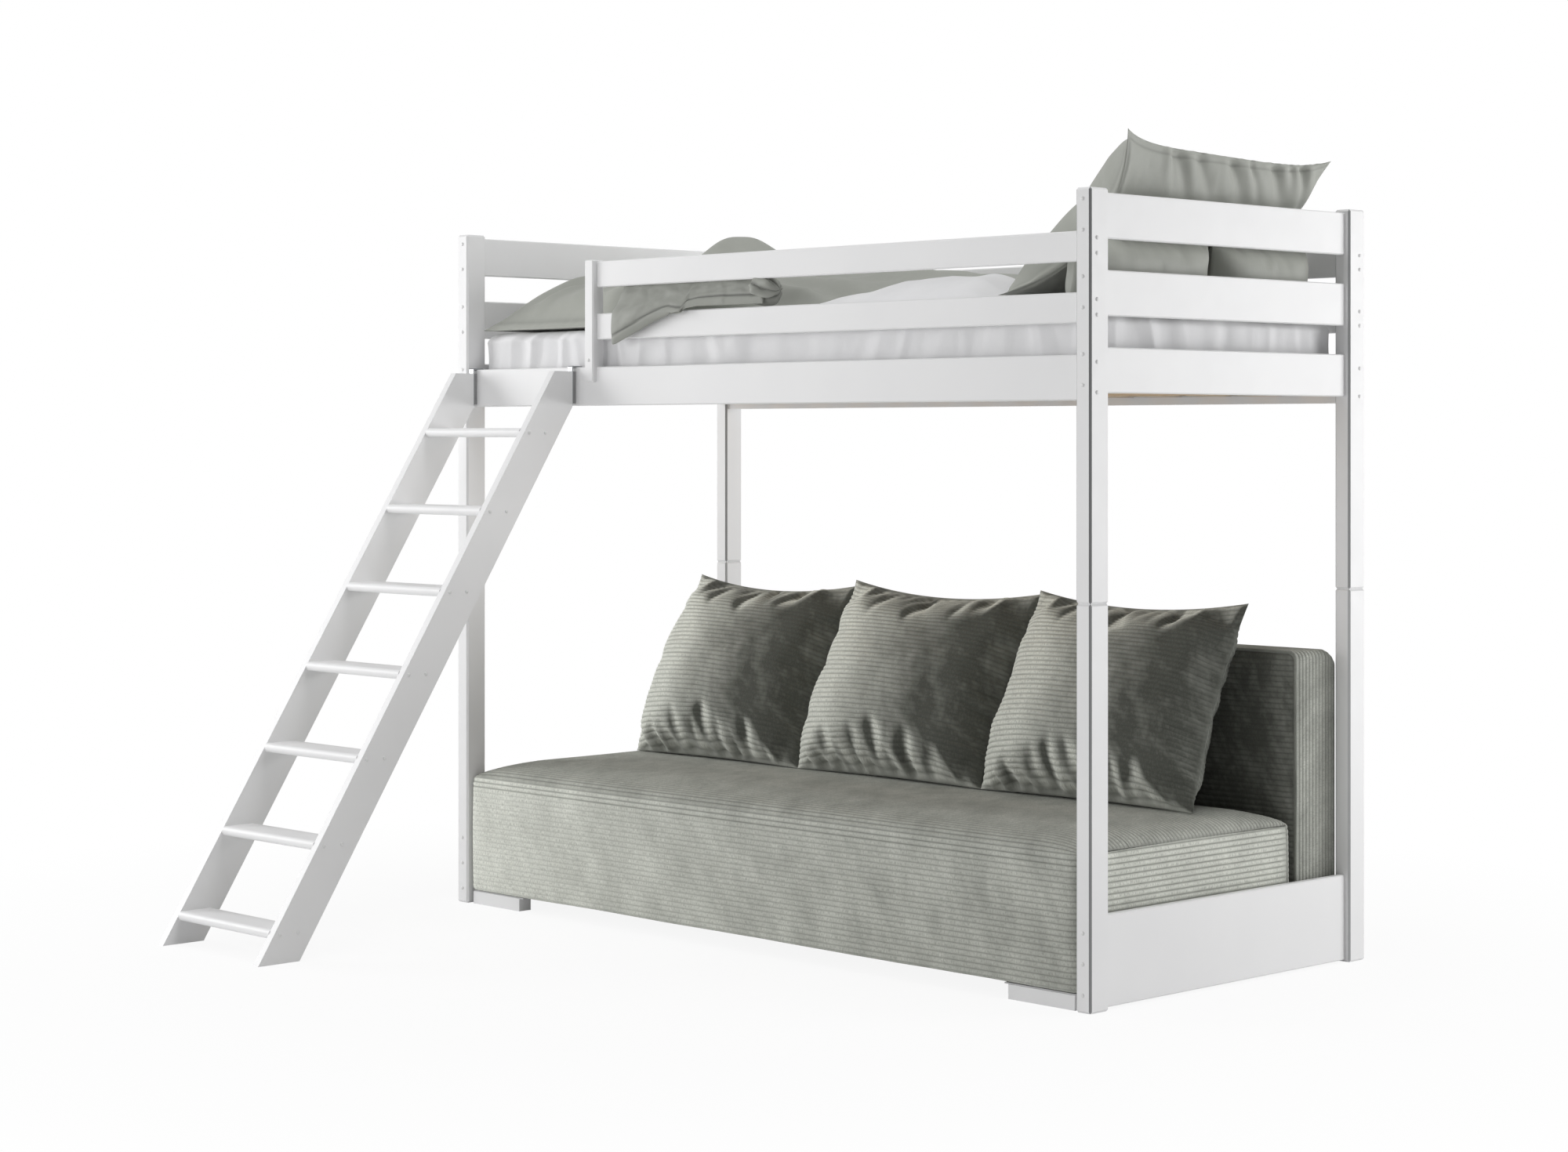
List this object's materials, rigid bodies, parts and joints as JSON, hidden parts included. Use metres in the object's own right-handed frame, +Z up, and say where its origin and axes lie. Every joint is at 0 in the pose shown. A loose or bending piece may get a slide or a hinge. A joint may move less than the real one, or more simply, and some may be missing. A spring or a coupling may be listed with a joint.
{
  "type": "loft bed with sofa",
  "caption": "Loft bed frame on tall posts with guard rails, a hooked ladder, slatted base, mattress and bedding above a sofa with a pull-out seat and loose cushions.",
  "frame": {"origin": "on the floor, in the middle of the whole footprint: half way along the bed, and half way from the ladder's feet to the frame's back", "axes": "+X along the bed from the ladder's end to the pillows' end, +Y from the front to the back, +Z up"},
  "size_m": [2.1036, 1.8798, 1.8439],
  "materials": {
    "white_paint": "white satin paint on solid wood",
    "white_cap": "smooth white plastic",
    "bare_pine": "bare planed pine",
    "strap_webbing": "woven webbing",
    "hook_steel": "plain bent strip",
    "hook_pad": "matt black",
    "sheet_cotton": "white cotton",
    "bedding_satin": "fine satin weave, grey-green",
    "corduroy": "wide-rib corduroy, grey-green",
    "foot_paint": "white paint",
    "foot_plate": "dark grey paint"
  },
  "bodies": {
    "frame": {"post_lower_front_left": "white_paint", "post_lower_front_right": "white_paint", "post_lower_back_left": "white_paint", "post_lower_back_right": "white_paint", "post_upper_front_left": "white_paint", "post_upper_front_right": "white_paint", "post_upper_back_left": "white_paint", "post_upper_back_right": "white_paint", "end_rail_left_top": "white_paint", "end_rail_left_middle": "white_paint", "end_rail_left_bottom": "white_paint", "end_rail_right_top": "white_paint", "end_rail_right_middle": "white_paint", "end_rail_right_bottom": "white_paint", "guard_rail_front_top": "white_paint", "guard_rail_front_lower": "white_paint", "guard_rail_back_top": "white_paint", "guard_rail_back_lower": "white_paint", "side_rail_front": "white_paint", "side_rail_back": "white_paint", "guard_upright": "white_paint", "end_panel_left": "white_paint", "end_panel_right": "white_paint", "long_rail_screws": "white_cap", "guard_upright_screws": "white_cap", "end_rail_screws": "white_cap", "end_panel_screws": "white_cap", "slat_ledger_front": "white_paint", "slat_ledger_back": "white_paint", "bed_slats": "bare_pine", "post_dowels": "bare_pine", "sofa_runners": "bare_pine", "slat_straps": "strap_webbing", "mattress": "sheet_cotton", "top_sheet": "sheet_cotton", "duvet": "bedding_satin", "bed_pillow_leaning": "bedding_satin", "bed_pillow_front": "bedding_satin", "bed_pillow_back": "bedding_satin", "sofa_backrest": "corduroy", "sofa_feet_back": "foot_paint"},
    "ladder": {"ladder_stringer_left": "white_paint", "ladder_stringer_right": "white_paint", "ladder_step_1": "white_paint", "ladder_step_2": "white_paint", "ladder_step_3": "white_paint", "ladder_step_4": "white_paint", "ladder_step_5": "white_paint", "ladder_step_6": "white_paint", "ladder_step_7": "white_paint", "ladder_step_screws": "white_cap", "ladder_hook_left": "hook_steel", "ladder_hook_right": "hook_steel", "ladder_hook_pads": "hook_pad"},
    "sofa_seat": {"sofa_seat": "corduroy", "sofa_feet_front": "foot_paint", "sofa_foot_plates": "foot_plate", "sofa_cushion_left": "corduroy", "sofa_cushion_middle": "corduroy", "sofa_cushion_right": "corduroy"}
  },
  "joints": [
    {"name": "ladder_lift", "type": "slide", "parent": "frame", "child": "ladder", "axis": [0, 0, 1], "range_m": [0, 0.06]},
    {"name": "seat_pull_out", "type": "slide", "parent": "frame", "child": "sofa_seat", "axis": [0, -1, 0], "range_m": [0, 0.48]}
  ]
}
